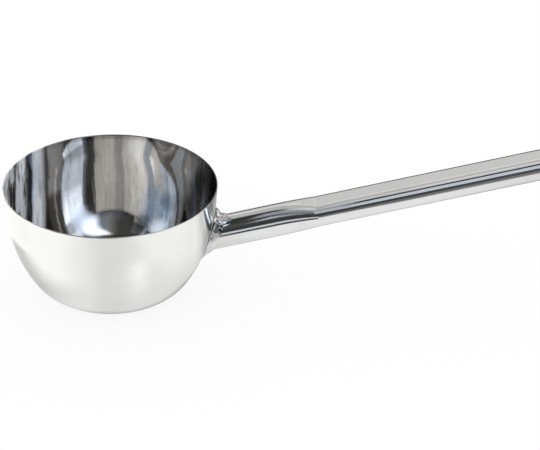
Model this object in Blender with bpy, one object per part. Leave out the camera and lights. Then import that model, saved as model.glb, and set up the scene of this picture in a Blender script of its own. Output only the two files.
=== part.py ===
"""Water dipper: a deep drawn steel cup with a pressed tube handle welded to its side.

Metres. +Z runs up the cup's axis, +X runs towards the tip of the handle, and the origin is the
middle of the cup's flat base.
"""

import math

import bmesh
import bpy
from mathutils import Vector

# Cup, drawn in one piece from sheet
CUP_RIM_DIAMETER = 0.165
CUP_HEIGHT = 0.090
CUP_SHEET = 0.0010
CUP_WALL_DRAFT = 4.0
CUP_STRAIGHT_WALL = 0.018
CUP_BASE_DIAMETER = 0.068
CUP_BASE_CORNER = 0.034

# Handle, one length of round tube
TUBE_DIAMETER = 0.0254
TUBE_WALL = 0.0010
HANDLE_ROOT_HEIGHT = 0.0474
HANDLE_TILT = 14.2
HANDLE_LENGTH = 0.350

# Grip, where the tube is pressed to a flat-topped oval
GRIP_THICKNESS = 0.0175
GRIP_START = 0.085
GRIP_RAMP = 0.035

# Tip, where the tube is pressed shut and pierced for hanging
TIP_RAMP = 0.030
TIP_STRAIGHT = 0.012
HANG_HOLE_DIAMETER = 0.010
HANG_HOLE_CHAMFER = 0.0003

# Fillet weld round the root of the handle, laid heavier on top than below
WELD_LEG_ON_CUP = 0.0058
WELD_LEG_ON_TUBE = 0.0078
WELD_TOP_SHARE = 0.22
WELD_HOLLOW = 0.62
WELD_WAVES = 9
WELD_WAVE_SHARE = 0.05

# Clearance left between pieces that touch
JOINT_GAP = 0.0003

# Facets
CUP_SIDES = 80
RIM_STEPS = 4
SIDE_ARC_STEPS = 6
CORNER_ARC_STEPS = 8
TUBE_FACE_STEPS = 11
TUBE_EDGE_STEPS = 4
GRIP_RAMP_STEPS = 7
TIP_RAMP_STEPS = 8
TIP_ROUND_STEPS = 16
HOLE_SIDES = 32
WELD_SIDES = 72
WELD_FACE_STEPS = 5
WELD_BACK_STEPS = 3
SMOOTH_BELOW = 32.0
HALVINGS = 48

# Sizes that follow from the ones above
TIP_THICKNESS = 2.0 * TUBE_WALL
WALL_DRAFT = math.radians(CUP_WALL_DRAFT)


def clear_scene():
    for old in list(bpy.data.objects):
        bpy.data.objects.remove(old, do_unlink=True)


def steel(name, colour, roughness):
    """A plain polished steel for one piece."""
    material = bpy.data.materials.new(name)
    material.use_nodes = True
    surface = material.node_tree.nodes["Principled BSDF"]
    surface.inputs["Base Color"].default_value = (*colour, 1.0)
    surface.inputs["Metallic"].default_value = 1.0
    surface.inputs["Roughness"].default_value = roughness
    return material


def finish_piece(name, mesh_builder, material):
    """Turn a closed bmesh into a named object with outward faces and smooth round sides."""
    bmesh.ops.recalc_face_normals(mesh_builder, faces=mesh_builder.faces)
    mesh = bpy.data.meshes.new(name)
    mesh_builder.to_mesh(mesh)
    mesh_builder.free()
    mesh.shade_smooth()
    mesh.set_sharp_from_angle(angle=math.radians(SMOOTH_BELOW))
    piece = bpy.data.objects.new(name, mesh)
    bpy.context.scene.collection.objects.link(piece)
    if material is not None:
        mesh.materials.append(material)
    return piece


def add_ring(mesh_builder, points):
    return [mesh_builder.verts.new(point) for point in points]


def bridge(mesh_builder, first, second):
    """Quads between two closed rings of equal count."""
    count = len(first)
    for i in range(count):
        j = (i + 1) % count
        mesh_builder.faces.new((first[i], first[j], second[j], second[i]))


def turned(mesh_builder, profile, sides, place):
    """Turn an open profile of (radius, height) pairs and close both ends with flat discs."""
    rings = []
    for radius, height in profile:
        ring = []
        for i in range(sides):
            angle = math.tau * i / sides
            ring.append(place(radius * math.cos(angle), radius * math.sin(angle), height))
        rings.append(add_ring(mesh_builder, ring))
    for first, second in zip(rings, rings[1:]):
        bridge(mesh_builder, first, second)
    mesh_builder.faces.new(rings[0])
    mesh_builder.faces.new(rings[-1])


def cup_arcs():
    """The side arc leaves the straight wall in line with it and runs in line into the base corner."""
    rim_radius = CUP_RIM_DIAMETER / 2
    inward = Vector((-math.cos(WALL_DRAFT), math.sin(WALL_DRAFT)))
    wall_foot = Vector((
        rim_radius - CUP_STRAIGHT_WALL * math.tan(WALL_DRAFT),
        CUP_HEIGHT - CUP_STRAIGHT_WALL,
    ))
    corner_centre = Vector((CUP_BASE_DIAMETER / 2, CUP_BASE_CORNER))
    reach = wall_foot - corner_centre
    spare = reach.dot(inward) + CUP_BASE_CORNER
    side_radius = (CUP_BASE_CORNER ** 2 - reach.length_squared) / (2 * spare)
    side_centre = wall_foot + side_radius * inward
    lean = corner_centre - side_centre
    meeting = math.atan2(-lean.y, lean.x)
    return side_centre, side_radius, corner_centre, meeting


def cup_side(offset):
    """(radius, height) pairs from the foot of the straight wall to the edge of the flat base."""
    side_centre, side_radius, corner_centre, meeting = cup_arcs()
    points = []
    for i in range(SIDE_ARC_STEPS + 1):
        angle = WALL_DRAFT + (meeting - WALL_DRAFT) * i / SIDE_ARC_STEPS
        reach = side_radius + offset
        points.append((side_centre.x + reach * math.cos(angle), side_centre.y - reach * math.sin(angle)))
    for i in range(1, CORNER_ARC_STEPS + 1):
        angle = meeting + (math.pi / 2 - meeting) * i / CORNER_ARC_STEPS
        reach = CUP_BASE_CORNER + offset
        points.append((corner_centre.x + reach * math.cos(angle), corner_centre.y - reach * math.sin(angle)))
    return points


def cup_radius(height, offset):
    """Radius of the cup's outside, moved out by an offset, at a height."""
    side_centre, side_radius, corner_centre, meeting = cup_arcs()
    reach = side_radius + offset
    if height > side_centre.y - reach * math.sin(WALL_DRAFT):
        drop = (CUP_HEIGHT - height) * math.tan(WALL_DRAFT)
        return CUP_RIM_DIAMETER / 2 - drop + offset / math.cos(WALL_DRAFT)
    if height > side_centre.y - reach * math.sin(meeting):
        return side_centre.x + math.sqrt(reach ** 2 - (side_centre.y - height) ** 2)
    reach = CUP_BASE_CORNER + offset
    return corner_centre.x + math.sqrt(max(reach ** 2 - (corner_centre.y - height) ** 2, 0.0))


def rim_round():
    """The cut edge of the sheet, rounded over from the outside to the inside."""
    edge = CUP_SHEET / 2
    middle = CUP_RIM_DIAMETER / 2 - edge * math.tan(WALL_DRAFT) - edge / math.cos(WALL_DRAFT)
    points = []
    for i in range(RIM_STEPS + 1):
        angle = math.pi * i / RIM_STEPS - WALL_DRAFT
        points.append((middle + edge * math.cos(angle), CUP_HEIGHT - edge + edge * math.sin(angle)))
    return points


def make_cup(material):
    outside = list(reversed(cup_side(0.0)))
    inside = cup_side(-CUP_SHEET)
    mesh_builder = bmesh.new()
    turned(mesh_builder, outside + rim_round() + inside, CUP_SIDES, lambda x, y, z: Vector((x, y, z)))
    return finish_piece("cup", mesh_builder, material)


def handle_frame():
    """Root of the handle's axis on the cup's wall, and its along, side and up directions."""
    tilt = math.radians(HANDLE_TILT)
    root = Vector((cup_radius(HANDLE_ROOT_HEIGHT, 0.0), 0.0, HANDLE_ROOT_HEIGHT))
    along = Vector((math.cos(tilt), 0.0, math.sin(tilt)))
    side = Vector((0.0, 1.0, 0.0))
    up = Vector((-math.sin(tilt), 0.0, math.cos(tilt)))
    return root, along, side, up


def reach_to_cup(start, along, offset):
    """Distance along a line at which it leaves the cup's outside, moved out by an offset."""
    inner = -CUP_RIM_DIAMETER / 2
    outer = CUP_RIM_DIAMETER / 2
    for _ in range(HALVINGS):
        middle = (inner + outer) / 2
        point = start + middle * along
        if math.hypot(point.x, point.y) > cup_radius(point.z, offset):
            outer = middle
        else:
            inner = middle
    return outer


def flat_width(thickness):
    """Width of the flat when the tube is pressed to a thickness and its girth stays the same."""
    return math.pi / 2 * (TUBE_DIAMETER - thickness)


def girth_marks():
    """Distances round the tube from its top middle, dense where the tip's folded edges lie."""
    face = flat_width(TIP_THICKNESS) / 2
    fold = math.pi * TIP_THICKNESS / 2
    half = [face * i / TUBE_FACE_STEPS for i in range(TUBE_FACE_STEPS)]
    half += [face + fold * i / TUBE_EDGE_STEPS for i in range(TUBE_EDGE_STEPS)]
    half += [face + fold + face * i / TUBE_FACE_STEPS for i in range(TUBE_FACE_STEPS)]
    girth = math.pi * TUBE_DIAMETER
    return half + [mark + girth / 2 for mark in half]


def oval_point(mark, thickness, inset):
    """(side, up) of a mark on the pressed tube, moved in from the surface by an inset."""
    girth = math.pi * TUBE_DIAMETER
    hand = 1.0
    if mark > girth / 2:
        hand = -1.0
        mark = girth - mark
    half_flat = flat_width(thickness) / 2
    fold = math.pi * thickness / 2
    reach = thickness / 2 - inset
    if mark <= half_flat:
        return hand * mark, reach
    if mark <= half_flat + fold:
        angle = (mark - half_flat) / (thickness / 2)
        return hand * (half_flat + reach * math.sin(angle)), reach * math.cos(angle)
    return hand * (2 * half_flat + fold - mark), -reach


def handle_stations():
    """(distance, thickness) from the end of the round tube to the start of the flat tip."""
    stations = []
    for i in range(GRIP_RAMP_STEPS + 1):
        share = i / GRIP_RAMP_STEPS
        thickness = TUBE_DIAMETER - (TUBE_DIAMETER - GRIP_THICKNESS) * share ** 2
        stations.append((GRIP_START - GRIP_RAMP + GRIP_RAMP * share, thickness))
    ramp_foot = tip_centre() - TIP_STRAIGHT
    for i in range(TIP_RAMP_STEPS + 1):
        share = i / TIP_RAMP_STEPS
        ease = share ** 2 * (3 - 2 * share)
        thickness = GRIP_THICKNESS - (GRIP_THICKNESS - TIP_THICKNESS) * ease
        stations.append((ramp_foot - TIP_RAMP + TIP_RAMP * share, thickness))
    return stations


def tip_centre():
    """Distance along the handle of the middle of the rounded tip, where the hanging hole is."""
    return HANDLE_LENGTH - (flat_width(TIP_THICKNESS) + TIP_THICKNESS) / 2


def round_tip(mesh_builder, place, last):
    """Close the flat tip: folded edges swept round in a half circle, with flat faces between."""
    centre = tip_centre()
    fold_radius = flat_width(TIP_THICKNESS) / 2
    edge = TIP_THICKNESS / 2
    rows = []
    for i in range(TIP_ROUND_STEPS + 1):
        turn = math.pi * i / TIP_ROUND_STEPS
        row = []
        for k in range(TUBE_EDGE_STEPS + 1):
            angle = math.pi * k / TUBE_EDGE_STEPS
            reach = fold_radius + edge * math.sin(angle)
            point = place(centre + reach * math.sin(turn), reach * math.cos(turn), edge * math.cos(angle))
            row.append(mesh_builder.verts.new(point))
        rows.append(row)
    steps = TUBE_FACE_STEPS
    near = last[steps:steps + TUBE_EDGE_STEPS + 1]
    far_start = 3 * steps + TUBE_EDGE_STEPS
    far = [last[(far_start + k) % len(last)] for k in range(TUBE_EDGE_STEPS + 1)]
    far.reverse()
    for first, second in zip([near] + rows, rows + [far]):
        for k in range(TUBE_EDGE_STEPS):
            mesh_builder.faces.new((first[k], first[k + 1], second[k + 1], second[k]))
    top_chord = last[far_start + TUBE_EDGE_STEPS:] + last[:steps + 1]
    low_chord = last[steps + TUBE_EDGE_STEPS:far_start + 1]
    mesh_builder.faces.new(top_chord + [row[0] for row in rows])
    mesh_builder.faces.new(low_chord + [row[-1] for row in reversed(rows)])


def hang_hole_cutter(place_at_tip):
    """A pin with flared ends, which pierces the tip and takes off the sharp edges."""
    radius = HANG_HOLE_DIAMETER / 2
    face = TIP_THICKNESS / 2
    past = TIP_THICKNESS
    flare = HANG_HOLE_CHAMFER + past
    profile = [
        (radius + flare, -face - past),
        (radius, -face + HANG_HOLE_CHAMFER),
        (radius, face - HANG_HOLE_CHAMFER),
        (radius + flare, face + past),
    ]
    mesh_builder = bmesh.new()
    turned(mesh_builder, profile, HOLE_SIDES, place_at_tip)
    cutter = finish_piece("hang_hole_cutter", mesh_builder, None)
    cutter.hide_render = True
    cutter.display_type = "WIRE"
    return cutter


def make_handle_tube(material):
    root, along, side, up = handle_frame()

    def place(distance, across, rise):
        return root + distance * along + across * side + rise * up

    def section(distance, thickness, inset):
        ring = []
        for mark in girth_marks():
            across, rise = oval_point(mark, thickness, inset)
            ring.append(place(distance, across, rise))
        return ring

    def coped(inset):
        ring = []
        for point in section(0.0, TUBE_DIAMETER, inset):
            ring.append(point + reach_to_cup(point, along, JOINT_GAP) * along)
        return ring

    mesh_builder = bmesh.new()
    stations = handle_stations()
    outer = [add_ring(mesh_builder, coped(0.0))]
    inner = [add_ring(mesh_builder, coped(TUBE_WALL))]
    bridge(mesh_builder, outer[0], inner[0])
    for distance, thickness in stations:
        outer.append(add_ring(mesh_builder, section(distance, thickness, 0.0)))
        bridge(mesh_builder, outer[-2], outer[-1])
    for distance, thickness in stations[:-1]:
        inner.append(add_ring(mesh_builder, section(distance, thickness, TUBE_WALL)))
        bridge(mesh_builder, inner[-2], inner[-1])
    mesh_builder.faces.new(inner[-1])
    round_tip(mesh_builder, place, outer[-1])
    tube = finish_piece("handle_tube", mesh_builder, material)
    cutter = hang_hole_cutter(lambda x, y, z: place(tip_centre() + x, y, z))
    pierce = tube.modifiers.new("hang_hole", "BOOLEAN")
    pierce.operation = "DIFFERENCE"
    pierce.solver = "EXACT"
    pierce.object = cutter
    return tube


def make_root_weld(material):
    """A hollow-faced fillet bead that follows the saddle line between the tube and the cup."""
    root, along, side, up = handle_frame()
    mesh_builder = bmesh.new()
    rings = []
    for i in range(WELD_SIDES):
        turn = math.tau * i / WELD_SIDES
        outward = math.sin(turn) * side + math.cos(turn) * up
        start = root + (TUBE_DIAMETER / 2 + JOINT_GAP) * outward
        swell = 1.0 + WELD_TOP_SHARE * math.cos(turn) + WELD_WAVE_SHARE * math.sin(WELD_WAVES * turn)

        def on_cup(height, start=start, outward=outward):
            point = start + height * outward
            return point + reach_to_cup(point, along, JOINT_GAP) * along

        corner = on_cup(0.0)
        toe_on_cup = on_cup(WELD_LEG_ON_CUP * swell)
        toe_on_tube = corner + WELD_LEG_ON_TUBE * swell * along
        pull = corner.lerp((toe_on_cup + toe_on_tube) / 2, 1.0 - WELD_HOLLOW)
        ring = [corner]
        for k in range(WELD_FACE_STEPS + 1):
            share = k / WELD_FACE_STEPS
            ring.append(toe_on_tube.lerp(pull, share).lerp(pull.lerp(toe_on_cup, share), share))
        for k in range(WELD_BACK_STEPS - 1, 0, -1):
            ring.append(on_cup(WELD_LEG_ON_CUP * swell * k / WELD_BACK_STEPS))
        rings.append(add_ring(mesh_builder, ring))
    for i, ring in enumerate(rings):
        bridge(mesh_builder, ring, rings[(i + 1) % WELD_SIDES])
    return finish_piece("root_weld", mesh_builder, material)


def main():
    clear_scene()
    make_cup(steel("cup_steel", (0.80, 0.79, 0.77), 0.10))
    make_handle_tube(steel("tube_steel", (0.78, 0.78, 0.77), 0.14))
    make_root_weld(steel("weld_steel", (0.74, 0.73, 0.71), 0.24))


main()
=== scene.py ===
# %% [markdown]
# # A water dipper in polished steel
# The real object is a deep cup drawn from one sheet, a tube handle pressed to an oval grip, and one
# fillet weld. The CAD solids are faceted, and a mirror finish shows every facet, so each solid gets
# a finer skin here from the same sizes. The order is: camera, studio, cup, handle, weld, lamps,
# finishes. Lengths are in metres. Turns and heights in the studio are in degrees.

# %% Load the CAD frame and keep its box
import math

import bmesh
import bpy
from mathutils import Matrix, Vector, noise


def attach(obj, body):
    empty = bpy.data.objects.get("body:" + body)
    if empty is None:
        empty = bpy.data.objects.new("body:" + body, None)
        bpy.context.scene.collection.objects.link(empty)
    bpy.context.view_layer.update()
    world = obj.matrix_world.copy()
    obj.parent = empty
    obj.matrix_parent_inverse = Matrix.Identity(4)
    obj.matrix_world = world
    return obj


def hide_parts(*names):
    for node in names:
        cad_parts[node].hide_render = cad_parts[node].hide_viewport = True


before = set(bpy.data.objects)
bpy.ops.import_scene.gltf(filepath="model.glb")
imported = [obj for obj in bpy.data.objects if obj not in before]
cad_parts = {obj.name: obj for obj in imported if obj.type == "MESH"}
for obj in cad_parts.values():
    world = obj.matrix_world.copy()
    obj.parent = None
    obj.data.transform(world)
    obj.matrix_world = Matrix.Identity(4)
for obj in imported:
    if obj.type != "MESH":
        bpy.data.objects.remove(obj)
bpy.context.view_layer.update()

print("CAD nodes:", ", ".join(sorted(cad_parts)))

# %% [markdown]
# ## Camera
# The cup's rim is an ellipse in the picture, and the ratio of its axes gives the height of the
# view: close to 30 degrees. A long lens from two metres away keeps the ellipse nearly even. The
# camera is placed from the middle of the rim: its axis passes so far to the right of that point and
# so far below it.

# %% Camera at the photograph's angle
IMAGE_WIDTH = 540
SENSOR_WIDTH = 36.0
CUP_HEIGHT = 0.090
RIM_CENTRE = Vector((0.0, 0.0, CUP_HEIGHT))
VIEW_HEIGHT = math.radians(29.75)
VIEW_ROLL = math.radians(-0.62)
VIEW_DISTANCE = 2.0
RIM_OFF_AXIS = (-0.12262, 0.03124)
FOCAL_PIXELS = 2606.2


def make_camera():
    level = Vector((1.0, 0.0, 0.0))
    rise = Vector((0.0, math.sin(VIEW_HEIGHT), math.cos(VIEW_HEIGHT)))
    ahead = Vector((0.0, math.cos(VIEW_HEIGHT), -math.sin(VIEW_HEIGHT)))
    right = math.cos(VIEW_ROLL) * level - math.sin(VIEW_ROLL) * rise
    top = math.sin(VIEW_ROLL) * level + math.cos(VIEW_ROLL) * rise
    place = RIM_CENTRE - RIM_OFF_AXIS[0] * right - RIM_OFF_AXIS[1] * top - VIEW_DISTANCE * ahead
    lens = bpy.data.cameras.new("camera")
    lens.sensor_fit = "HORIZONTAL"
    lens.sensor_width = SENSOR_WIDTH
    lens.lens = FOCAL_PIXELS * SENSOR_WIDTH / IMAGE_WIDTH
    camera = bpy.data.objects.new("camera", lens)
    turn = Matrix((right, top, -ahead)).transposed().to_4x4()
    camera.matrix_world = Matrix.Translation(place) @ turn
    bpy.context.scene.collection.objects.link(camera)
    bpy.context.scene.camera = camera
    return camera


camera = make_camera()
print("camera at", [round(c, 3) for c in camera.location], "lens", round(camera.data.lens, 1), "mm")

# %% [markdown]
# ## Shader sums
# Finishes are built from many small sums. Writing each Math node by hand hides the idea, so a small
# class wraps one output of a node: adding or multiplying two of them adds the Math node for it.

# %% One wire of a node tree
class Wire:
    """An output of a node. Sums of wires add Math nodes, and node() adds any other kind of node."""

    def __init__(self, tree, socket):
        self.tree = tree
        self.socket = socket

    @classmethod
    def node(cls, tree, kind, settings=None, sockets=None, output=0):
        """Add a node: its settings are set first, then its sockets are filled or linked."""
        made = tree.nodes.new(kind)
        for name, value in (settings or {}).items():
            setattr(made, name, value)
        for name, value in (sockets or {}).items():
            if isinstance(value, Wire):
                tree.links.new(value.socket, made.inputs[name])
            else:
                made.inputs[name].default_value = value
        return cls(tree, None if output is None else made.outputs[output])

    def output(self, name):
        """Another output of the same node."""
        return Wire(self.tree, self.socket.node.outputs[name])

    def ends_in(self, kind):
        """Lead this wire into a closing output node."""
        Wire.node(self.tree, kind, None, {"Surface": self}, None)

    def maths(self, operation, *values):
        settings = {"operation": operation}
        return Wire.node(self.tree, "ShaderNodeMath", settings, dict(enumerate(values)))

    def __add__(self, other):
        return self.maths("ADD", self, other)

    def __radd__(self, other):
        return self.maths("ADD", other, self)

    def __sub__(self, other):
        return self.maths("SUBTRACT", self, other)

    def __rsub__(self, other):
        return self.maths("SUBTRACT", other, self)

    def __mul__(self, other):
        return self.maths("MULTIPLY", self, other)

    def __rmul__(self, other):
        return self.maths("MULTIPLY", other, self)

    def __truediv__(self, other):
        return self.maths("DIVIDE", self, other)

    def __pow__(self, other):
        return self.maths("POWER", self, other)

    def larger(self, other):
        """The larger of two values at each point."""
        return self.maths("MAXIMUM", self, other)

    def size(self):
        """The value without its sign."""
        return self.maths("ABSOLUTE", self)

    def step(self, low, high, to_low=0.0, to_high=1.0):
        """A soft step: to_low below low, to_high above high, smooth between."""
        settings = {"interpolation_type": "SMOOTHSTEP"}
        sockets = {0: self, 1: low, 2: high, 3: to_low, 4: to_high}
        return Wire.node(self.tree, "ShaderNodeMapRange", settings, sockets)

    def band(self, low, high, soft):
        """1 between low and high, 0 outside, with soft edges."""
        return self.step(low - soft, low + soft) * self.step(high - soft, high + soft, 1.0, 0.0)

    def noise(self, scale, detail=2.0, roughness=0.5):
        """Noise on a vector wire, from 0 to 1."""
        sockets = {"Vector": self, "Scale": scale, "Detail": detail, "Roughness": roughness}
        return Wire.node(self.tree, "ShaderNodeTexNoise", {"noise_dimensions": "3D"}, sockets)

    def mix_colour(self, low, high):
        """A colour between two colours, by this wire."""
        settings = {"data_type": "RGBA"}
        return Wire.node(self.tree, "ShaderNodeMix", settings, {0: self, 6: low, 7: high}, 2)


print("shader sums ready")

# %% [markdown]
# Places and directions are vectors, and the sums below need their separate numbers, a distance or a
# compass turn. These four helpers keep such steps out of the finishes.

# %% Places, distances and turns
DEGREES = 180.0 / math.pi


def split(vector):
    """The three numbers of a vector wire."""
    parts = Wire.node(vector.tree, "ShaderNodeSeparateXYZ", None, {0: vector}).socket.node
    return [Wire(vector.tree, parts.outputs[i]) for i in range(3)]


def join(tree, x, y, z):
    """A vector wire from three numbers."""
    return Wire.node(tree, "ShaderNodeCombineXYZ", None, {0: x, 1: y, 2: z})


def spread(x, y):
    """Distance from the upright axis that x and y are measured from."""
    return (x * x + y * y) ** 0.5


def bearing(aside, ahead):
    """The turn of a direction from straight ahead, in degrees."""
    return aside.maths("ARCTAN2", aside, ahead) * DEGREES


print("helpers for places ready")

# %% [markdown]
# ## Studio
# Polished steel has no look of its own: it shows the room. The room here is white paper below and a
# dark dome with upright panels above. Real walls and cards would do, but their light would also
# fall on the paper and make it uneven. So the paper and the dome are shaders with two faces: a
# plain one that lights the scene, and one that only mirrors see.
#
# ### Paper
# The outside of the cup and the underside of the tube mirror the paper. Real paper is brighter on
# the left, where the brightest panels stand, and dim close under the cup, which keeps the light off
# it. The camera should see plain white, so this unevenness is a sum of soft steps that only mirrors
# see.

# %% How bright the steel sees the paper
PAPER_LEVEL = 0.86


def paper_pools(x, y, side, far):
    """Lighter and darker pools, by the turn from the front and the distance from the cup."""
    left_glow = 0.24 * side.step(-52.0, -4.0, 1.0, 0.0) * side.step(-175.0, -115.0)
    front_dip = 0.05 * side.band(-9.0, 13.0, 8.0)
    front_pool = 0.24 * side.band(20.0, 33.0, 9.0) * far.band(0.095, 0.150, 0.04)
    right_dip = 0.06 * side.band(67.0, 140.0, 18.0) * far.step(0.10, 0.14, 1.0, 0.0)
    below_tube = x.step(0.06, 0.12) * (0.14 - 0.04 * y.step(-0.07, -0.015))
    below_grip = 0.08 * x.step(0.24, 0.34)
    return left_glow - front_dip + front_pool - right_dip + below_tube - below_grip


def paper_shade(x, y, far):
    """The dim paper close round the cup, and behind the handle's root."""
    right_half = spread(x, y - 0.020).step(0.060, 0.080, 0.45, 0.0) * x.step(-0.06, -0.01)
    left_half = (y + 0.625 * x).step(-0.124, -0.059) * far.step(0.118, 0.132, 0.45, 0.0)
    left_half = left_half * x.step(-0.065, -0.015, 1.0, 0.0)
    back = y.step(0.03, 0.08)
    front_shade = (right_half + left_half) * (1.0 - back)
    back_shade = back * far.step(0.055, 0.10, 0.30, 0.0)
    behind_root = 0.50 * x.step(0.07, 0.11) * y.step(-0.01, 0.06)
    return far.step(0.06, 0.10, 0.05, 0.0) + front_shade + back_shade + behind_root


def paper_loss(x, y):
    """The share of light lost further in front, which darkens the tube's near side."""
    slant = x - 0.14 * y
    by_root = 0.93 * slant.step(0.155, 0.180, 1.0, 0.0) * y.step(-0.30, -0.22, 1.0, 0.0)
    by_grip = 0.70 * slant.step(0.255, 0.285) * y.step(-0.60, -0.30, 1.0, 0.0)
    return by_root + by_grip


def mirrored_paper(place):
    x, y, _ = split(place)
    far = spread(x, y)
    pools = paper_pools(x, y, bearing(x, -1.0 * y), far)
    return (PAPER_LEVEL + pools - paper_shade(x, y, far)) * (1.0 - paper_loss(x, y))


print("plain paper looks", PAPER_LEVEL, "bright in a mirror")

# %% Lay the paper
PAPER_HALF = 4.0
PAPER_DROP = 0.0004
PAPER_GLOW = 0.88
PAPER_WHITE = (0.92, 0.92, 0.92, 1.0)


def paper_look():
    """Paper that the camera sees as white, and that still takes a soft shadow."""
    material = bpy.data.materials.new("floor_paper")
    material.use_nodes = True
    tree = material.node_tree
    tree.nodes.clear()
    ray = Wire.node(tree, "ShaderNodeLightPath")
    mirrored = ray.output("Is Glossy Ray") + ray.output("Is Transmission Ray")
    place = Wire.node(tree, "ShaderNodeTexCoord").output("Object")
    level = 1.0 - mirrored + mirrored * mirrored_paper(place)
    glow = Wire.node(tree, "ShaderNodeEmission", None, {"Color": level})
    paper = Wire.node(tree, "ShaderNodeBsdfDiffuse", None, {"Color": PAPER_WHITE})
    share = PAPER_GLOW * ray.output("Is Camera Ray") + mirrored
    look = Wire.node(tree, "ShaderNodeMixShader", None, {0: share, 1: paper, 2: glow})
    look.ends_in("ShaderNodeOutputMaterial")
    return material


def make_floor():
    mesh = bpy.data.meshes.new("floor")
    corners = [(-1, -1), (1, -1), (1, 1), (-1, 1)]
    points = [(PAPER_HALF * x, PAPER_HALF * y, 0.0) for x, y in corners]
    mesh.from_pydata(points, [], [(0, 1, 2, 3)])
    floor = bpy.data.objects.new("floor", mesh)
    floor.location.z = -PAPER_DROP
    bpy.context.scene.collection.objects.link(floor)
    mesh.materials.append(paper_look())


make_floor()
print("floor of", 2 * PAPER_HALF, "m")

# %% [markdown]
# ### Dome
# The inside of the cup mirrors the room two or three times over, and upright panels turn into the
# bands on its wall. The panels could be meshes. Here the dome works out, from the turn and the
# height of a mirrored ray, which panel the ray meets, so a panel is one line of a table. Cloth
# panels hang unevenly, so a slow mottle runs over them.
#
# Each mirror takes some light away, and so the panels for the deep bands are several times brighter
# than white. That would burn out where the steel meets a panel in its first mirror, as the flat
# grip does from some sides. The first mirror therefore sees no panel brighter than white.

# %% Panels round the dipper
# Each panel: the turn it starts and ends at, in degrees from straight behind and to the right, and
# how bright its lower and its upper half are. White is 1.
PANELS = (
    (-152.0, -116.5, 0.45, 0.12),
    (-116.0, -100.0, 5.40, 2.20),
    (-99.0, -84.0, 4.70, 2.50),
    (-84.0, -65.5, 4.50, 2.40),
    (-65.0, -58.0, 0.46, 0.42),
    (-58.0, -40.0, 0.03, 0.07),
    (-38.5, -20.0, 0.82, 0.82),
    (-20.0, -6.0, 0.66, 0.80),
    (-6.0, 8.0, 0.64, 0.74),
    (8.0, 27.0, 0.44, 0.44),
    (27.0, 41.0, 0.74, 0.74),
    (41.0, 60.0, 1.00, 1.00),
    (60.0, 81.0, 1.32, 1.32),
    (82.0, 94.0, 0.72, 0.68),
    (95.0, 110.0, 1.05, 1.95),
    (110.0, 128.0, 1.00, 2.10),
    (-134.3, -132.2, 2.20, 1.60),
)
PANEL_FOOT = 17.0
PANEL_TOP = 44.0
PANEL_EDGE = 1.6
FIRST_MIRROR_TOP = 1.0


def panel_ring(turn, height, first_mirror):
    """Brightness of all panels, with one small lighter pane in them."""
    upper = (height - 2.8 * turn.step(86.0, 100.0)).step(27.0, 29.4)
    ring = 0.0
    for start, end, low_level, high_level in PANELS:
        level = low_level + (high_level - low_level) * upper
        ring = ring + level * turn.band(start, end, PANEL_EDGE)
    mottle = join(turn.tree, 0.12 * turn, 0.10 * height, 0.0).noise(1.0, 4.0, 0.6)
    ring = ring * (0.75 + 0.5 * mottle)
    ring = ring - first_mirror * (ring - FIRST_MIRROR_TOP).larger(0.0)
    pane = turn.band(50.0, 70.0, 1.5) * height.band(35.5, 41.0, 0.8)
    hung = height.step(PANEL_FOOT - 3.0, PANEL_FOOT + 1.0)
    hung = hung * height.step(PANEL_TOP - 4.0, PANEL_TOP + 4.0, 1.0, 0.0)
    return hung * (ring + 0.15 * pane)


print("studio with", len(PANELS), "panels")

# %% [markdown]
# Round the panels there is a little more: a soft ceiling, a light straight above, a window's glare
# on the right with leaning edges and some haze beside it, and low in front a pale skyline with a
# bluish dusk over it. Panels that stand in daylight look cooler than the others.

# %% Glare, ceiling and skyline
DARK = 0.030
GLARE = 1.6


def window_glare(turn, from_front, height):
    """Above 32 degrees the edges of the glare lean towards the front."""
    above = height - 32.0
    glare = (turn - 0.9 * above.larger(0.0)).step(148.0, 163.5, 1.0, 0.0)
    glare = glare * turn.step(122.0, 140.0) * (turn - 1.2 * above).step(110.0, 127.0)
    haze = 0.20 * from_front.band(-38.0, -2.0, 12.0) + 0.03 * from_front.band(-20.0, 50.0, 10.0)
    return (GLARE * glare + haze) * height.band(24.0, 54.0, 4.0)


def rest_of_room(turn, height):
    ceiling = height.band(PANEL_TOP, 74.0, 4.0) * turn.band(-62.0, 100.0, 10.0)
    zenith = height.step(76.0, 84.0)
    skyline = height.step(10.0, 16.0, 1.0, 0.0) * (1.0 - turn.band(-150.0, 150.0, 4.0))
    return DARK + 0.55 * (ceiling + zenith) + 0.16 * skyline


print("dark of the dome is", DARK, "and the glare", GLARE)

# %% Hang the dome
BARE_LIGHT = 1.1
PLAIN_WHITE = (1.0, 1.0, 1.0, 1.0)
LAMPLIGHT = (1.0, 0.992, 0.968, 1.0)
DAYLIGHT = (0.87, 0.97, 1.14, 1.0)


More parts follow.
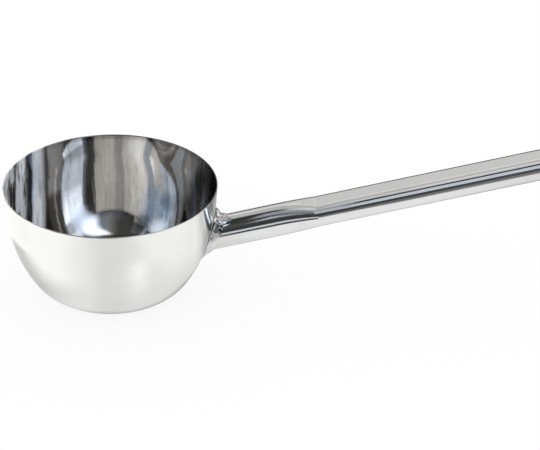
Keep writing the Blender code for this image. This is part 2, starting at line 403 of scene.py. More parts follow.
def make_dome():
    """Bare light for the paper, and for the steel a dark dome with panels round it."""
    world = bpy.data.worlds.new("studio")
    bpy.context.scene.world = world
    world.use_nodes = True
    tree = world.node_tree
    tree.nodes.clear()
    x, y, z = split(Wire.node(tree, "ShaderNodeTexCoord").output("Generated"))
    turn = bearing(x, y)
    from_front = bearing(-1.0 * x, -1.0 * y)
    height = z.maths("ARCSINE", z) * DEGREES
    ray = Wire.node(tree, "ShaderNodeLightPath")
    # The dome counts one bounce more than the steel: after the first mirror, the depth reads 2.
    first_mirror = ray.output("Ray Depth").step(2.2, 2.8, 1.0, 0.0)
    dusk = from_front.band(-8.0, 10.5, 3.0) * height.band(13.0, 27.0, 4.0)
    level = rest_of_room(turn, height) + panel_ring(turn, height, first_mirror)
    level = level + window_glare(turn, from_front, height) + 0.045 * dusk
    cool = turn.band(-117.0, -56.0, 3.0) * (1.0 - 0.7 * first_mirror)
    cool = cool + 0.8 * turn.band(79.0, 97.0, 3.0) + turn.band(119.0, 170.0, 4.0) + dusk
    tint = cool.mix_colour(LAMPLIGHT, DAYLIGHT)
    room = Wire.node(tree, "ShaderNodeBackground", None, {"Color": tint, "Strength": level})
    sockets = {"Color": PLAIN_WHITE, "Strength": BARE_LIGHT}
    bare = Wire.node(tree, "ShaderNodeBackground", None, sockets)
    sockets = {0: ray.output("Is Glossy Ray"), 1: bare, 2: room}
    look = Wire.node(tree, "ShaderNodeMixShader", None, sockets)
    look.ends_in("ShaderNodeOutputWorld")


make_dome()
bpy.context.scene.view_settings.view_transform = "Standard"
print("dome hung, bare light", BARE_LIGHT)

# %% [markdown]
# ## Cup
# The real cup is pressed from a disc of sheet, so its section is a line and two arcs that run into
# each other. The same section is turned here, but with many more steps than the CAD solid.

# %% Sizes of the cup
RIM_RADIUS = 0.0825
CUP_SHEET = 0.0010
WALL_DRAFT = math.radians(4.0)
STRAIGHT_WALL = 0.018
BASE_RADIUS = 0.034
BASE_CORNER = 0.034


def cup_arcs():
    """The side arc runs on from the wall and into the base corner."""
    inward = Vector((-math.cos(WALL_DRAFT), math.sin(WALL_DRAFT)))
    foot_radius = RIM_RADIUS - STRAIGHT_WALL * math.tan(WALL_DRAFT)
    wall_foot = Vector((foot_radius, CUP_HEIGHT - STRAIGHT_WALL))
    corner = Vector((BASE_RADIUS, BASE_CORNER))
    reach = wall_foot - corner
    side_radius = BASE_CORNER ** 2 - reach.length_squared
    side_radius = side_radius / (2 * (reach.dot(inward) + BASE_CORNER))
    side = wall_foot + side_radius * inward
    lean = corner - side
    return side, side_radius, corner, math.atan2(-lean.y, lean.x)


def cup_radius(height, offset=0.0):
    """Radius of the cup's outside, moved out by an offset, at a height."""
    side, side_radius, corner, meeting = cup_arcs()
    reach = side_radius + offset
    if height > side.y - reach * math.sin(WALL_DRAFT):
        wall = RIM_RADIUS - (CUP_HEIGHT - height) * math.tan(WALL_DRAFT)
        return wall + offset / math.cos(WALL_DRAFT)
    if height > side.y - reach * math.sin(meeting):
        return side.x + math.sqrt(reach ** 2 - (side.y - height) ** 2)
    reach = BASE_CORNER + offset
    return corner.x + math.sqrt(max(reach ** 2 - (corner.y - height) ** 2, 0.0))


print("side arc radius", round(1000 * cup_arcs()[1], 1), "mm")

# %% Section of the cup
WALL_STEPS = 8
ARC_STEPS = 30
BASE_STEPS = 8
EDGE_STEPS = 10


def steps(first, last, count):
    return [first + (last - first) * i / count for i in range(count + 1)]


def cup_skin(offset):
    """(radius, height) from the wall below the rim down to the middle of the base."""
    side, side_radius, corner, meeting = cup_arcs()
    top = CUP_HEIGHT - CUP_SHEET
    foot = side.y - (side_radius + offset) * math.sin(WALL_DRAFT)
    points = [(cup_radius(h, offset), h) for h in steps(top, foot, WALL_STEPS)[:-1]]
    for angle in steps(WALL_DRAFT, meeting, ARC_STEPS):
        reach = side_radius + offset
        points.append((side.x + reach * math.cos(angle), side.y - reach * math.sin(angle)))
    for angle in steps(meeting, math.pi / 2, ARC_STEPS)[1:]:
        reach = BASE_CORNER + offset
        points.append((corner.x + reach * math.cos(angle), corner.y - reach * math.sin(angle)))
    points += [(r, -offset) for r in steps(BASE_RADIUS, 0.0, BASE_STEPS)[1:-1]]
    return points


def rim_edge():
    """The cut edge, rounded over from outside to inside."""
    edge = CUP_SHEET / 2
    middle = RIM_RADIUS - edge * math.tan(WALL_DRAFT) - edge / math.cos(WALL_DRAFT)
    angles = steps(-WALL_DRAFT, math.pi - WALL_DRAFT, EDGE_STEPS)
    return [(middle + edge * math.cos(a), CUP_HEIGHT - edge + edge * math.sin(a)) for a in angles]


section = list(reversed(cup_skin(0.0))) + rim_edge() + cup_skin(-CUP_SHEET)
print("cup section has", len(section), "points")

# %% [markdown]
# The section is turned into rings of points, and each ring is joined to the next. A Screw modifier
# could turn it too, but with the rings at hand the inside gets its own material in the same loop.

# %% Turn the section
CUP_SIDES = 192
OUTSIDE, INSIDE = 0, 1
SHARP_FOLD = math.radians(40.0)


def ring_faces(builder, first, second):
    count = len(first)
    for i in range(count):
        j = (i + 1) % count
        builder.faces.new((first[i], first[j], second[j], second[i]))


def dress(builder, name, node):
    """Make a smooth piece from a bmesh that rides on the body and stands for its CAD node."""
    bmesh.ops.recalc_face_normals(builder, faces=builder.faces)
    mesh = bpy.data.meshes.new(name)
    builder.to_mesh(mesh)
    builder.free()
    mesh.shade_smooth()
    mesh.set_sharp_from_angle(angle=SHARP_FOLD)
    piece = bpy.data.objects.new(name, mesh)
    bpy.context.scene.collection.objects.link(piece)
    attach(piece, "root")
    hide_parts(node)
    print(name, "has", len(mesh.polygons), "faces")
    return piece


def make_cup():
    builder = bmesh.new()
    turns = [math.tau * i / CUP_SIDES for i in range(CUP_SIDES)]
    rings = []
    for radius, height in section:
        points = [(radius * math.cos(turn), radius * math.sin(turn), height) for turn in turns]
        rings.append([builder.verts.new(point) for point in points])
    for first, second in zip(rings, rings[1:]):
        ring_faces(builder, first, second)
    builder.faces.new(rings[0])
    rim_top = len(section) // 2
    builder.faces.ensure_lookup_table()
    for face in builder.faces[rim_top * CUP_SIDES:-1]:
        face.material_index = INSIDE
    builder.faces.new(rings[-1]).material_index = INSIDE
    return dress(builder, "cup_shell", "cup")


cup = make_cup()

# %% [markdown]
# ## Handle
# One tube makes the whole handle. A press flattens it, and the steel does not stretch, so the girth
# stays the same: a thinner oval is a wider one. Points are therefore marked by their distance round
# the tube, and each mark keeps its distance from the round root to the flat tip.

# %% Sizes of the handle
TUBE_DIAMETER = 0.0254
TUBE_WALL = 0.0010
ROOT_HEIGHT = 0.0474
HANDLE_TILT = math.radians(14.2)
HANDLE_LENGTH = 0.350
GRIP_THICKNESS = 0.0175
GRIP_START = 0.085
GRIP_RAMP = 0.035
TIP_THICKNESS = 2 * TUBE_WALL
TIP_RAMP = 0.030
TIP_STRAIGHT = 0.012
HOLE_DIAMETER = 0.010
HOLE_CHAMFER = 0.0003

ROOT = Vector((cup_radius(ROOT_HEIGHT), 0.0, ROOT_HEIGHT))
ALONG = Vector((math.cos(HANDLE_TILT), 0.0, math.sin(HANDLE_TILT)))
ACROSS = Vector((0.0, 1.0, 0.0))
UP = Vector((-math.sin(HANDLE_TILT), 0.0, math.cos(HANDLE_TILT)))
GIRTH = math.pi * TUBE_DIAMETER


def on_handle(distance, across, rise):
    return ROOT + distance * ALONG + across * ACROSS + rise * UP


def flat_width(thickness):
    return math.pi / 2 * (TUBE_DIAMETER - thickness)


TIP_CENTRE = HANDLE_LENGTH - (flat_width(TIP_THICKNESS) + TIP_THICKNESS) / 2
print("grip is", round(1000 * (flat_width(GRIP_THICKNESS) + GRIP_THICKNESS), 1), "mm wide")

# %% Thickness along the handle
PRESS_LINE = 0.0016
PRESS_TAPS = 3


def pressed(distance):
    """Thickness before the press lines are softened."""
    if distance < GRIP_START:
        share = max(distance - GRIP_START + GRIP_RAMP, 0.0) / GRIP_RAMP
        return TUBE_DIAMETER - (TUBE_DIAMETER - GRIP_THICKNESS) * share ** 2
    share = min(max(distance - TIP_CENTRE + TIP_STRAIGHT + TIP_RAMP, 0.0) / TIP_RAMP, 1.0)
    return GRIP_THICKNESS - (GRIP_THICKNESS - TIP_THICKNESS) * share ** 2 * (3 - 2 * share)


def thickness_at(distance):
    """Thickness with each press line rounded over a short length."""
    shifts = [PRESS_LINE * k / PRESS_TAPS for k in range(-PRESS_TAPS, PRESS_TAPS + 1)]
    taps = [pressed(distance + shift) for shift in shifts]
    return sum(taps) / len(taps)


for mark in (0.02, 0.07, 0.12, 0.30, 0.33):
    print(round(1000 * mark), "mm out:", round(1000 * thickness_at(mark), 2), "mm thick")

# %% Section of the tube
FACE_STEPS = 26
FOLD_STEPS = 10


def girth_marks():
    """Distances round the tube from its top middle, dense where the tip's folds lie."""
    face = flat_width(TIP_THICKNESS) / 2
    fold = math.pi * TIP_THICKNESS / 2
    half = steps(0.0, face, FACE_STEPS)[:-1]
    half += steps(face, face + fold, FOLD_STEPS)[:-1]
    half += steps(face + fold, 2 * face + fold, FACE_STEPS)[:-1]
    return half + [mark + GIRTH / 2 for mark in half]


def oval_point(mark, thickness, inset):
    """(across, rise) of a mark on the pressed tube, moved in by an inset."""
    hand = 1.0
    if mark > GIRTH / 2:
        hand = -1.0
        mark = GIRTH - mark
    half_flat = flat_width(thickness) / 2
    fold = math.pi * thickness / 2
    reach = thickness / 2 - inset
    if mark <= half_flat:
        return hand * mark, reach
    if mark <= half_flat + fold:
        angle = (mark - half_flat) / (thickness / 2)
        return hand * (half_flat + reach * math.sin(angle)), reach * math.cos(angle)
    return hand * (2 * half_flat + fold - mark), -reach


MARKS = girth_marks()
print("tube section has", len(MARKS), "points")

# %% [markdown]
# The root end of the tube is coped: cut to the curve of the wall it meets. A Boolean could cut it,
# but it leaves thin faces. Each line along the tube is instead run out to the wall, by halving the
# stretch in which the wall must lie, and the end ring is laid at those points.

# %% Where a line along the handle meets the cup
HALVINGS = 40


def reach_to_cup(start, offset=0.0):
    inner = -RIM_RADIUS
    outer = RIM_RADIUS
    for _ in range(HALVINGS):
        middle = (inner + outer) / 2
        point = start + middle * ALONG
        if math.hypot(point.x, point.y) > cup_radius(point.z, offset):
            outer = middle
        else:
            inner = middle
    return outer


tube_top = on_handle(0.0, 0.0, TUBE_DIAMETER / 2)
print("tube top meets the cup at", round(1000 * reach_to_cup(tube_top), 2), "mm")

# %% Rings of the tube
JOINT_GAP = 0.0002
FIRST_RING = 0.014
PRESS_ROOM = 0.003
TIP_RUN_IN = 0.002


def tube_ring(builder, distance, inset):
    thickness = thickness_at(distance)
    ring = []
    for mark in MARKS:
        across, rise = oval_point(mark, thickness, inset)
        ring.append(builder.verts.new(on_handle(distance, across, rise)))
    return ring


def coped_ring(builder, inset):
    """The root end, cut to the curve of the cup's wall."""
    ring = []
    for mark in MARKS:
        point = on_handle(0.0, *oval_point(mark, TUBE_DIAMETER, inset))
        ring.append(builder.verts.new(point + reach_to_cup(point, JOINT_GAP) * ALONG))
    return ring


def tube_places():
    """Distances of the rings, closer together where the press bends the steel."""
    ramp = GRIP_START - GRIP_RAMP
    tip_foot = TIP_CENTRE - TIP_STRAIGHT
    tip_press = tip_foot - TIP_RAMP - PRESS_ROOM
    places = steps(FIRST_RING, ramp, 8)[:-1]
    places += steps(ramp, GRIP_START - PRESS_ROOM, 24)[:-1]
    places += steps(GRIP_START - PRESS_ROOM, GRIP_START + PRESS_ROOM, 12)[:-1]
    places += steps(GRIP_START + PRESS_ROOM, tip_press, 20)[:-1]
    places += steps(tip_press, tip_foot + TIP_RUN_IN, 44)
    return places


print("tube has", len(tube_places()), "rings")

# %% [markdown]
# The tip is pressed flat, so its edge is a fold that sweeps round in a half circle, and its two
# faces are flat with a hole for a hook. The fold is made of short rows, and each face is filled
# between its border and the hole.

# %% Close the tip
TIP_TURNS = 48


def hole_ring(builder, rise, radius):
    ring = []
    for i in range(TIP_TURNS):
        turn = math.tau * i / TIP_TURNS
        place = (TIP_CENTRE + radius * math.sin(turn), radius * math.cos(turn), rise)
        ring.append(builder.verts.new(on_handle(*place)))
    return ring


def fold_rows(builder):
    """Rows of points across the folded edge, from one side of the tip round to the other."""
    edge = TIP_THICKNESS / 2
    rows = []
    for turn in steps(0.0, math.pi, TIP_TURNS):
        row = []
        for angle in steps(0.0, math.pi, FOLD_STEPS):
            reach = flat_width(TIP_THICKNESS) / 2 + edge * math.sin(angle)
            ahead = TIP_CENTRE + reach * math.sin(turn)
            place = (ahead, reach * math.cos(turn), edge * math.cos(angle))
            row.append(builder.verts.new(on_handle(*place)))
        rows.append(row)
    return rows


def pierced_face(builder, border, hole):
    """A flat face between a border and a hole, both closed loops."""
    edges = []
    for loop in (border, hole):
        edges += [builder.edges.get(pair) for pair in zip(loop, loop[1:] + loop[:1])]
    bmesh.ops.triangle_fill(builder, edges=edges, use_beauty=True)


def close_tip(builder, last):
    """Sweep the folded edge round the tip and lay flat faces with the hole between."""
    rows = fold_rows(builder)
    far_start = 3 * FACE_STEPS + FOLD_STEPS
    near = last[FACE_STEPS:FACE_STEPS + FOLD_STEPS + 1]
    far = [last[(far_start + k) % len(last)] for k in range(FOLD_STEPS + 1)]
    far.reverse()
    for first, second in zip([near] + rows, rows + [far]):
        for k in range(FOLD_STEPS):
            builder.faces.new((first[k], first[k + 1], second[k + 1], second[k]))
    edge = TIP_THICKNESS / 2
    hole = HOLE_DIAMETER / 2
    cut = [(edge, hole + HOLE_CHAMFER), (edge - HOLE_CHAMFER, hole)]
    cut += [(-rise, radius) for rise, radius in reversed(cut)]
    holes = [hole_ring(builder, rise, radius) for rise, radius in cut]
    for first, second in zip(holes, holes[1:]):
        ring_faces(builder, first, second)
    top = last[far_start + FOLD_STEPS:] + last[:FACE_STEPS + 1]
    low = last[FACE_STEPS + FOLD_STEPS:far_start + 1]
    pierced_face(builder, top + [row[0] for row in rows], holes[0])
    pierced_face(builder, low + [row[-1] for row in reversed(rows)], holes[-1])


print("tip is", round(1000 * TIP_THICKNESS, 1), "mm thick, hole", 1000 * HOLE_DIAMETER, "mm")

# %% Loft the tube
SOLID_RINGS = 8


def make_handle():
    """The outer skin, the bore inside it as far as the solid tip, and the tip."""
    builder = bmesh.new()
    outer = [coped_ring(builder, 0.0)]
    inner = [coped_ring(builder, TUBE_WALL)]
    ring_faces(builder, outer[0], inner[0])
    places = tube_places()
    for place in places:
        outer.append(tube_ring(builder, place, 0.0))
        ring_faces(builder, outer[-2], outer[-1])
    for place in places[:-SOLID_RINGS]:
        inner.append(tube_ring(builder, place, TUBE_WALL))
        ring_faces(builder, inner[-2], inner[-1])
    builder.faces.new(inner[-1])
    close_tip(builder, outer[-1])
    piece = dress(builder, "handle_skin", "handle_tube")
    piece.modifiers.new("keep_flats_flat", "WEIGHTED_NORMAL").keep_sharp = True
    return piece


handle = make_handle()

# %% [markdown]
# ## Weld
# The root weld is a fillet: it flares from the tube to the cup, hollow in the middle, and its two
# toes stand a little proud. A hand-laid bead is never even. It could be sculpted, but here each
# point of the even fillet is simply moved by noise: wide lumps where drops froze, and finer ripples
# on them.

# %% Sizes of the bead
LEG_ON_CUP = 0.0058
LEG_ON_TUBE = 0.0078
TOP_SHARE = 0.22
HOLLOW = 0.62
WAVES = 9
WAVE_SHARE = 0.05
WANDER = 3.0
WANDER_SHARE = 0.14
TOE_HEIGHT = 0.0006
TOE_SHARPNESS = 5
LUMP_SIZE = 0.0050
LUMP_HEIGHT = 0.0018
RIPPLE_SIZE = 0.0020
RIPPLE_HEIGHT = 0.0003


def bead_rise(point, share, turn):
    """How far a point stands off the even fillet: drops froze on top, and it ran below."""
    toes = 1.0 - abs(2.0 * share - 1.0) ** TOE_SHARPNESS
    uneven = 0.55 + 0.45 * math.cos(turn)
    lump = noise.noise(point / LUMP_SIZE)
    ripple = abs(noise.noise(point / RIPPLE_SIZE))
    return toes * (TOE_HEIGHT + uneven * (LUMP_HEIGHT * lump + RIPPLE_HEIGHT * ripple))


def bead_swell(turn, outward):
    """How large the bead is at a turn round the tube: heavier on top, in waves and by chance."""
    swell = 1.0 + TOP_SHARE * math.cos(turn) + WAVE_SHARE * math.sin(WAVES * turn)
    return swell + WANDER_SHARE * noise.noise(WANDER * outward)


print("bead legs", 1000 * LEG_ON_CUP, "and", 1000 * LEG_ON_TUBE, "mm")

# %% Lay the bead
BEAD_SIDES = 420
BEAD_STEPS = 26


def bead_section(turn):
    """The closed section of the bead at one turn round the tube."""
    outward = math.sin(turn) * ACROSS + math.cos(turn) * UP
    start = ROOT + (TUBE_DIAMETER / 2 + JOINT_GAP) * outward
    swell = bead_swell(turn, outward)

    def on_cup(height):
        point = start + height * outward
        return point + reach_to_cup(point, JOINT_GAP) * ALONG

    corner = on_cup(0.0)
    cup_toe = on_cup(LEG_ON_CUP * swell)
    tube_toe = corner + LEG_ON_TUBE * swell * ALONG
    pull = corner.lerp((cup_toe + tube_toe) / 2, 1.0 - HOLLOW)
    points = [corner]
    for share in steps(0.0, 1.0, BEAD_STEPS):
        point = tube_toe.lerp(pull, share).lerp(pull.lerp(cup_toe, share), share)
        lift = outward.lerp(ALONG, share).normalized()
        points.append(point + max(bead_rise(point, share, turn), 0.0) * lift)
    return points + [on_cup(LEG_ON_CUP * swell * k) for k in (0.75, 0.5, 0.25)]


def make_weld():
    builder = bmesh.new()
    rings = []
    for i in range(BEAD_SIDES):
        points = bead_section(math.tau * i / BEAD_SIDES)
        rings.append([builder.verts.new(point) for point in points])
    for i, ring in enumerate(rings):
        ring_faces(builder, ring, rings[(i + 1) % BEAD_SIDES])
    return dress(builder, "weld_bead", "root_weld")


weld = make_weld()

# %% [markdown]
# ## Lamps for the handle
# The long highlights on the handle are soft lamps close by. A real studio keeps such a lamp off the
# cup with a black card. Light linking does the same here without a card in the way: four lamps
# light the handle alone, and the one overhead lights the handle and the weld.

# %% Five soft lamps
COOL = (0.84, 0.91, 1.0)
WHITE = (1.0, 0.99, 1.0)
# Each lamp: its name and shape, where it hangs, its two sizes, how bright the steel sees it, where
# white is 1, its colour, and the pieces that it lights.
LAMPS = (
    ("root_light", "RECTANGLE", (-0.084, -0.47, 0.69), (0.108, 0.34), 0.57, COOL, (handle,)),
    ("grip_light", "RECTANGLE", (0.161, -0.486, 0.677), (0.382, 0.395), 0.72, COOL, (handle,)),
    ("overhead_light", "ELLIPSE", (0.06, 0.018, 0.85), (0.40, 0.32), 0.64, WHITE, (handle, weld)),
    ("shoulder_light", "RECTANGLE", (-0.124, -0.175, 0.80), (0.11, 0.30), 0.40, COOL, (handle,)),
    ("low_card", "ELLIPSE", (0.005, -0.60, 0.090), (0.15, 0.12), 0.66, COOL, (handle,)),
)


def make_lamp(name, shape, centre, size, level, colour, pieces):
    """A lamp whose power is set so that the steel sees a plain brightness, whatever its size."""
    lamp = bpy.data.lights.new(name, "AREA")
    lamp.shape = shape
    lamp.size, lamp.size_y = size
    area = size[0] * size[1] * (math.pi / 4 if shape == "ELLIPSE" else 1.0)
    lamp.energy = math.pi * area * level
    lamp.color = colour
    light = bpy.data.objects.new(name, lamp)
    turn = Vector((0.0, -centre[1], ROOT.z - centre[2])).to_track_quat("-Z", "Y")
    light.matrix_world = Matrix.Translation(centre) @ turn.to_matrix().to_4x4()
    light.visible_camera = False
    bpy.context.scene.collection.objects.link(light)
    lit = bpy.data.collections.new("lit_by_" + name)
    for piece in pieces:
        lit.objects.link(piece)
    light.light_linking.receiver_collection = lit
    print(name, "of", round(lamp.energy, 3), "W")


for lamp in LAMPS:
    make_lamp(*lamp)

# %% [markdown]
# ## Finishes
# All three pieces are bare stainless steel, so no colour tells them apart, only the way each was
# polished. Steel could be given one roughness number, but then it looks like a computer's idea of
# chrome. Real polish is made of very fine lines, and they follow the way the wheel or die moved.

# %% Start of every steel
def steel(name):
    """A bare steel material, its shading node, and where on the object a point is, in metres."""
    material = bpy.data.materials.new(name)
    material.use_nodes = True
    surface = material.node_tree.nodes["Principled BSDF"]
    surface.inputs["Metallic"].default_value = 1.0
    return material, surface, Wire.node(material.node_tree, "ShaderNodeTexCoord").output("Object")


def lead(surface, **wires):
    """Lead wires into the shading node's sockets."""
    for name, wire in wires.items():
        wire.tree.links.new(wire.socket, surface.inputs[name.replace("_", " ")])


def bump(height, depth):
    """A normal from a height wire that runs over 0 to 1, with its real depth in metres."""
    return Wire.node(height.tree, "ShaderNodeBump", None, {"Height": height, "Distance": depth})


def hairlines(where, scale, thin):
    """Thin lines where a noise passes its middle value: long ones if the vector is stretched."""
    return (where.noise(scale, 1.0) - 0.5).size().step(0.0, thin, 1.0, 0.0)


def past_root(place, axis):
    """How far a place lies from the handle's root along one of the handle's axes."""
    x, _, z = split(place)
    return (x - ROOT.x) * axis.x + (z - ROOT.z) * axis.z


print("steel helpers ready")

# %% [markdown]
# ### Outside of the cup
# The outside is buffed on a lathe with a soft wheel. The lines run round the cup, so they blur what
# the wall mirrors up and down but hardly sideways. Height plus radius grows steadily from the
# middle of the base to the rim, so noise that changes fast with it and slowly round the cup gives
# the lines. A grey ring is painted on the wall, a little way off the bead and wider upwards: a
# painted reflection of the dark handle and weld, which the wall mirrors beside the root.

# %% Satin outside
OUTSIDE_PALE = (0.873, 0.878, 0.850, 1.0)
OUTSIDE_DARK = (0.74, 0.745, 0.73, 1.0)
HANDLE_REFLECTION_GREY = (0.27, 0.27, 0.28, 1.0)
OUTSIDE_DEPTH = 0.000011


# Painted reflection: a grey ring on the wall beside the root, for the dark handle and weld that the
# wall mirrors there.
def handle_reflection_ring(place):
    x, y, _ = split(place)
    up = past_root(place, UP)
    aside = y.size() - 0.35 * up.larger(0.0)
    out = (aside * aside + 0.3 * up * up) ** 0.5
    ring = out.band(0.0205, 0.0275, 0.005) * x.step(0.05, 0.06)
    return ring * up.step(0.004, 0.018, 0.55, 0.90)


def satin_outside():
    material, surface, place = steel("cup_outside_satin")
    x, y, z = split(place)
    climb = spread(x, y) + z
    lathe = join(place.tree, climb, 0.03 * x, 0.03 * y)
    fine = lathe.noise(2400.0, 3.0, 0.6)
    bands = lathe.noise(230.0, 2.0)
    smudge = place.noise(42.0, 4.0, 0.6).step(0.48, 0.72)
    marks = hairlines(join(place.tree, climb, 0.12 * x, 0.12 * y), 210.0, 0.012)
    marks = marks * place.noise(25.0).step(0.52, 0.62)
    rim_polish = z.step(CUP_HEIGHT - 0.0016, CUP_HEIGHT - 0.0004)
    soiled = 0.16 * smudge + 0.25 * (fine - 0.5) + 0.22 * marks
    grey = soiled.mix_colour(OUTSIDE_PALE, OUTSIDE_DARK)
    # The painted reflection of the handle and weld, laid into the wall's colour.
    grey = handle_reflection_ring(place).mix_colour(grey, HANDLE_REFLECTION_GREY)
    rough = 0.07 + 0.05 * bands + 0.05 * smudge + 0.06 * marks - 0.04 * rim_polish
    height = 0.8 * fine + 0.2 * bands - 0.3 * marks
    lead(surface, Base_Color=grey, Roughness=rough, Normal=bump(height, OUTSIDE_DEPTH))
    return material


cup.data.materials.append(satin_outside())
print("cup outside:", cup.data.materials[OUTSIDE].name)

# %% [markdown]
# ### Inside of the cup
# The inside keeps the bright face of the sheet. The die drew the sheet downwards, so it has faint
# upright streaks, and the sheet is never quite even, so long soft waves bend what it mirrors. Two
# or three bounces in the bowl make each fault show strongly, as a streak or a wavy edge. The base
# was spun duller than the wall.

# %% The drawn sheet
INSIDE_PALE = (0.73, 0.724, 0.71, 1.0)
INSIDE_DARK = (0.57, 0.562, 0.545, 1.0)


def drawn_sheet(place):
    """Colour, roughness and height of the drawn sheet; its colour also darkens towards the rim."""
    x, y, z = split(place)
    far = spread(x, y) + 0.001
    drawn = join(place.tree, x / far, y / far, 1.2 * (z + far))
    streaks = drawn.noise(34.0, 3.0, 0.6)
    fine = drawn.noise(150.0, 2.0, 0.5)
    waves = place.noise(26.0, 1.0)
    rings = join(place.tree, far + z, 0.05 * x, 0.05 * y).noise(900.0, 2.0)
    smudge = place.noise(50.0, 5.0, 0.65).step(0.50, 0.74)
    # Besides the noise, the colour turns darker from 60 mm up to the rim.
    soiled = 0.35 * smudge + 0.60 * streaks.step(0.25, 0.75) + 0.35 * z.step(0.060, 0.088)
    grey = soiled.mix_colour(INSIDE_PALE, INSIDE_DARK)
    spun_base = z.step(0.001, 0.024, 0.13, 0.0)
    rough = 0.015 + 0.04 * smudge + 0.02 * streaks + spun_base
    height = 0.60 * waves + 0.10 * streaks + 0.012 * fine + 0.006 * rings
    return grey, rough, height


print("sheet colours", INSIDE_PALE[:3], "to", INSIDE_DARK[:3])

# %% [markdown]
# Welding heats the sheet right through, so its inside shows heat colour too: a brown bloom round
# the root and a blue tint at its lower edge. Close to the root on the far side, a near-black patch
# is painted shade. Use has left a few stains, the lip is darker, and pale, rougher spots on the far
# wall are painted glints. Such marks could be painted by hand. Here each is a soft step of the
# distance from its middle, made ragged by noise, so that one line places it on the steel.

# %% Marks of heat and use, painted shade and painted glints
HEAT_BROWN = (0.25, 0.243, 0.235, 1.0)
HEAT_BLUE = (0.31, 0.385, 0.48, 1.0)
# Near-black for the stains, the lip, the painted shade by the root and the painted dark streak.
STAIN_AND_SHADE_BLACK = (0.035, 0.035, 0.036, 1.0)
# Each mark: its middle, how far out it is full, how far out it ends, and its strength.
STAINS = (
    ((0.021, 0.0607, 0.0213), 0.003, 0.012, 0.75),
    ((0.043, 0.0610, 0.0410), 0.004, 0.011, 0.45),
    ((-0.036, 0.0730, 0.0810), 0.004, 0.016, 0.50),
)
# Painted glints: pale, rougher spots where the far wall shows bright highlights.
GLINT_SPOTS = (
    ((-0.0270, 0.0605, 0.0255), 0.004, 0.016, 1.0),
    ((0.0335, 0.0555, 0.0205), 0.001, 0.012, 1.0),
    ((0.0155, 0.0793, 0.0800), 0.003, 0.010, 0.5),
)


def off(place, spot):
    """Distance of a place from a spot on the steel, made ragged so that no mark is a plain disc."""
    settings = {"operation": "DISTANCE"}
    gap = Wire.node(place.tree, "ShaderNodeVectorMath", settings, {0: place, 1: spot}, "Value")
    return gap + 0.008 * (place.noise(110.0, 3.0, 0.6) - 0.5)


def spots(place, marks):
    total = 0.0
    for middle, full, end, strength in marks:
        total = total + off(place, middle).step(full, end, strength, 0.0)
    return total


def heat_stains_and_shade(place, colour):
    """Heat colours laid over the sheet's own, then a painted shade by the root, the stains and the
    darker lip.
    """
    _, y, z = split(place)
    from_weld = off(place, ROOT)
    bloom = from_weld.step(0.052, 0.112, 0.90, 0.0)
    colour = bloom.mix_colour(colour, HEAT_BROWN)
    blued = from_weld.band(0.068, 0.090, 0.008) * z.step(0.040, 0.054, 1.0, 0.0)
    blued = blued * y.step(0.02, 0.04, 0.0, 0.85)
    colour = blued.mix_colour(colour, HEAT_BLUE)
    # Painted shade: a near-black patch close to the root on the far side.
    root_shade = from_weld.step(0.050, 0.062, 1.0, 0.0) * y.step(0.030, 0.042)
    stained = spots(place, STAINS) + 0.35 * z.step(0.0855, 0.0880)
    return (0.9 * root_shade.larger(stained)).mix_colour(colour, STAIN_AND_SHADE_BLACK)


print(len(STAINS), "stains and", len(GLINT_SPOTS), "rubbed spots")

# %% [markdown]
# On the side away from the handle, pale and less metallic places are painted sheen: a streak along
# the edge, a second streak beside it and a patch next to them, with a painted dark streak between
# the two streaks. A lower Metallic makes them scatter light instead of mirroring it.

# %% Painted sheen on the side away from the handle
# Pale colour of the painted sheen and the painted glints.
SHEEN_PALE = (0.88, 0.92, 0.97, 1.0)


def sheen_and_dark_streak(place):
    """Where the painted sheen lies, and where the painted dark streak lies."""
    x, y, z = split(place)
    beyond = y.step(0.0, 0.02)
    streakiness = join(place.tree, x, 0.05 * y, 0.07 * z).noise(520.0, 3.0, 0.6)
    # Painted sheen: pale, less metallic streaks along the edge and beside it, and a patch next to
    # them.
    edge = x.step(-0.0708, -0.0672, 1.0, 0.0) * streakiness.step(0.34, 0.56, 0.0, 1.35)
    sheen_streak = x.step(-0.0655, -0.0628) * x.step(-0.0585, -0.0535, 1.0, 0.0) * beyond
    sheen_streak = sheen_streak * z.step(0.010, 0.026) * z.step(0.044, 0.060, 1.4, 0.8)
    sheen_streak = sheen_streak * streakiness.step(0.28, 0.50, 0.75, 1.30)
    sheen_patch = 0.35 * x.band(-0.0535, -0.0415, 0.002) * beyond * z.step(0.046, 0.053)
    # Painted dark streak between the edge streak and the second streak.
    dark_streak = x.band(-0.0676, -0.0640, 0.0010) * beyond
    return edge.larger(sheen_streak.larger(sheen_patch)), dark_streak


print("worn places are", SHEEN_PALE[:3])

# %% [markdown]
# The layers are now put together: sheet, heat and painted shade, painted glints, a painted dark
# streak and painted sheen. Polished steel seen at a grazing angle turns almost white, but the steel
# deep in a bowl mirrors its own dark wall there.
# A grey Specular Tint keeps those edges dark.

# %% Bright inside
DARK_GRAZING = (0.50, 0.50, 0.50, 1.0)
INSIDE_DEPTH = 0.00022


def bright_inside():
    material, surface, place = steel("cup_inside_bright")
    grey, rough, height = drawn_sheet(place)
    # Painted glints, which are also made rougher.
    glint = spots(place, GLINT_SPOTS)
    # Painted sheen on the side away from the handle, with a painted dark streak in it.
    sheen, dark_streak = sheen_and_dark_streak(place)
    colour = glint.mix_colour(heat_stains_and_shade(place, grey), SHEEN_PALE)
    colour = (0.6 * dark_streak).mix_colour(colour, STAIN_AND_SHADE_BLACK)
    colour = sheen.mix_colour(colour, SHEEN_PALE)
    surface.inputs["Specular Tint"].default_value = DARK_GRAZING
    lead(surface, Base_Color=colour, Metallic=0.98 - 0.60 * sheen)
    lead(surface, Roughness=rough + 0.16 * glint, Normal=bump(height, INSIDE_DEPTH))
    return material


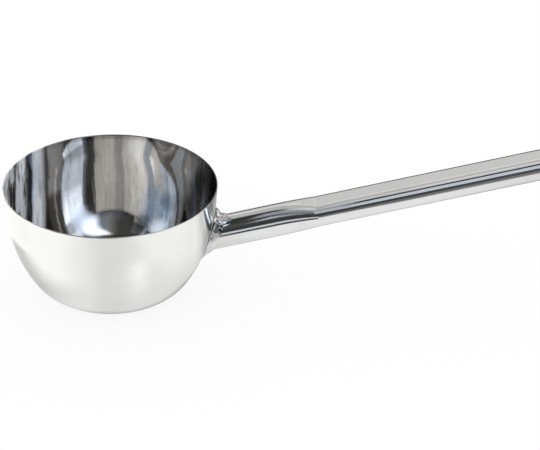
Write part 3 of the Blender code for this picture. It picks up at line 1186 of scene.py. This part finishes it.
cup.data.materials.append(bright_inside())
print("cup inside:", cup.data.materials[INSIDE].name)

# %% [markdown]
# ### Tube
# Tube is pulled through a die and then belt-polished, so its lines run along it. Noise on a vector
# that is squeezed along the handle gives them. The weld's heat leaves a faint straw tint at the
# root, and hands leave dull patches and a few short scratches across the grip.

# %% Drawn tube
TUBE_PALE = (0.78, 0.782, 0.785, 1.0)
TUBE_DARK = (0.67, 0.672, 0.675, 1.0)
HEAT_STRAW = (0.74, 0.70, 0.63, 1.0)
TUBE_DEPTH = 0.00010


def drawn_tube():
    material, surface, place = steel("tube_polish")
    _, y, _ = split(place)
    along = past_root(place, ALONG)
    up = past_root(place, UP)
    drawn = join(place.tree, 0.015 * along, y, up)
    fine = drawn.noise(2200.0, 3.0, 0.6)
    lines = drawn.noise(520.0, 2.0)
    waves = join(place.tree, 0.35 * along, y, up).noise(60.0, 1.0)
    smudge = place.noise(45.0, 5.0, 0.65).step(0.50, 0.74)
    cross = join(place.tree, along, 0.10 * (y + 0.6 * along), 0.10 * up)
    marks = hairlines(cross, 160.0, 0.010) * place.noise(60.0).step(0.56, 0.66)
    heat = along.step(0.008, 0.024, 1.0, 0.0)
    grey = (0.5 * smudge + 0.35 * lines + 0.2 * marks).mix_colour(TUBE_PALE, TUBE_DARK)
    tinted = (0.3 * heat).mix_colour(grey, HEAT_STRAW)
    rough = 0.05 + 0.05 * smudge + 0.03 * lines + 0.06 * marks + 0.04 * heat
    height = 0.5 * waves + 0.03 * lines + 0.012 * fine - 0.02 * marks
    lead(surface, Base_Color=tinted, Roughness=rough, Normal=bump(height, TUBE_DEPTH))
    return material


handle.data.materials.append(drawn_tube())
print("tube:", handle.data.materials[0].name)

# %% [markdown]
# ### Weld
# The bead is left as it froze and then quickly brushed, so its high places shine and its hollows
# keep a little grey scale with a violet heat colour. Its flanks are darkened in blotches with
# painted shade.

# %% Brushed bead
BEAD_PALE = (0.74, 0.74, 0.74, 1.0)
BEAD_SCALE = (0.46, 0.455, 0.45, 1.0)
HEAT_VIOLET = (0.66, 0.62, 0.66, 1.0)
PAINTED_FLANK_SHADE = (0.07, 0.072, 0.076, 1.0)
BEAD_DEPTH = 0.00003


def brushed_bead():
    material, surface, place = steel("weld_brushed")
    _, y, _ = split(place)
    scale = place.noise(420.0, 4.0, 0.6).step(0.46, 0.70)
    fine = place.noise(2600.0, 3.0, 0.6)
    heat = place.noise(160.0, 2.0).step(0.42, 0.66)
    grey = (0.5 * scale).mix_colour(BEAD_PALE, BEAD_SCALE)
    tinted = (0.35 * heat).mix_colour(grey, HEAT_VIOLET)
    # Painted shade: the bead's flanks are darkened in blotches.
    flank = past_root(place, UP).band(0.002, 0.014, 0.003) * y.size().step(0.006, 0.011)
    flank_shade = 0.88 * flank * heat.step(0.0, 0.6, 0.6, 1.0)
    tinted = flank_shade.mix_colour(tinted, PAINTED_FLANK_SHADE)
    rough = 0.13 + 0.10 * scale + 0.04 * fine
    height = 0.7 * place.noise(600.0, 2.0) + 0.3 * fine
    lead(surface, Base_Color=tinted, Roughness=rough, Normal=bump(height, BEAD_DEPTH))
    return material


weld.data.materials.append(brushed_bead())
print("weld:", weld.data.materials[0].name)
